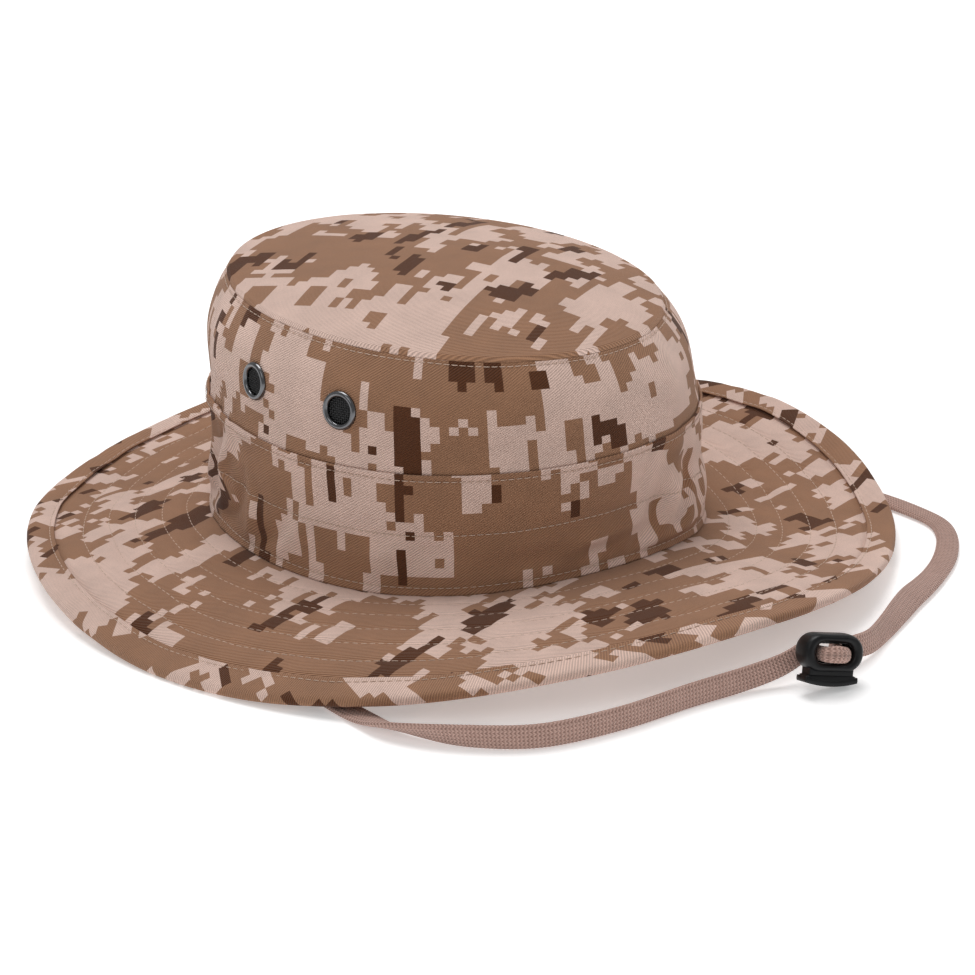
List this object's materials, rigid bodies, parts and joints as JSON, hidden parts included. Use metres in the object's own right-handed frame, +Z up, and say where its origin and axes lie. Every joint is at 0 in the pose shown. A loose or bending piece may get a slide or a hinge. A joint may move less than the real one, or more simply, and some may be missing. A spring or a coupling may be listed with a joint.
{
  "type": "boonie hat",
  "caption": "Soft wide-brimmed cloth hat with a low oval crown, screened vents in its sides, a quilted wavy brim and a flat chin cord with a sliding lock.",
  "frame": {"origin": "centre of the hat's outline on the table it stands on", "axes": "+Z up through the crown, -Y towards the front of the hat, +X towards the wearer's left; +Y runs along the longer way of the oval brim"},
  "size_m": [0.3192, 0.387, 0.1175],
  "materials": {
    "camouflage_twill": null,
    "lining_twill": "plain matte twill",
    "webbing": "woven webbing",
    "loop_fabric": "soft looped pile",
    "hook_fabric": "stiff hooks",
    "seam_tape": "plain cotton tape",
    "stiffening_cloth": "stiff interlining",
    "binding_twill": "the crown's twill, cut as a binding",
    "thread": "sewing thread",
    "gunmetal": "black oxide, semi-gloss",
    "black_mesh": "fine woven screen",
    "braid": "matte flat braid",
    "black_plastic": "satin moulded plastic",
    "spring_steel": "bright spring steel"
  },
  "bodies": {
    "hat": {"crown_top": "camouflage_twill", "crown_wall": "camouflage_twill", "crown_band": "camouflage_twill", "sweatband": "lining_twill", "size_strap": "webbing", "loop_tape": "loop_fabric", "strap_anchor": "webbing", "top_seam_tape": "seam_tape", "back_seam_tape": "seam_tape", "brim_upper": "camouflage_twill", "brim_stiffener": "stiffening_cloth", "brim_lower": "camouflage_twill", "brim_binding": "binding_twill", "brim_thread": "thread", "crown_thread": "thread", "vent_eyelets": "gunmetal", "vent_washers": "gunmetal", "vent_screens": "black_mesh", "cord_tab_left": "camouflage_twill", "cord_tab_right": "camouflage_twill", "chin_cord": "braid", "lock_body": "black_plastic", "lock_spring": "spring_steel"},
    "plunger": {"lock_plunger": "black_plastic"},
    "adjuster": {"adjuster_tab": "webbing", "hook_pad": "hook_fabric"}
  },
  "joints": [
    {"name": "lock_button", "type": "slide", "parent": "hat", "child": "plunger", "axis": [0.3076, 0.1378, 0.9415], "range_m": [0, 0.0012], "stiffness_N_per_m": 400, "springref_m": -0.003, "deforming": ["lock_spring"]},
    {"name": "size_tab_peel", "type": "hinge", "parent": "hat", "child": "adjuster", "pos_m": [0.0388, 0.0853, 0.031], "axis": [0, 0, 1], "range_deg": [0, 95]}
  ]
}
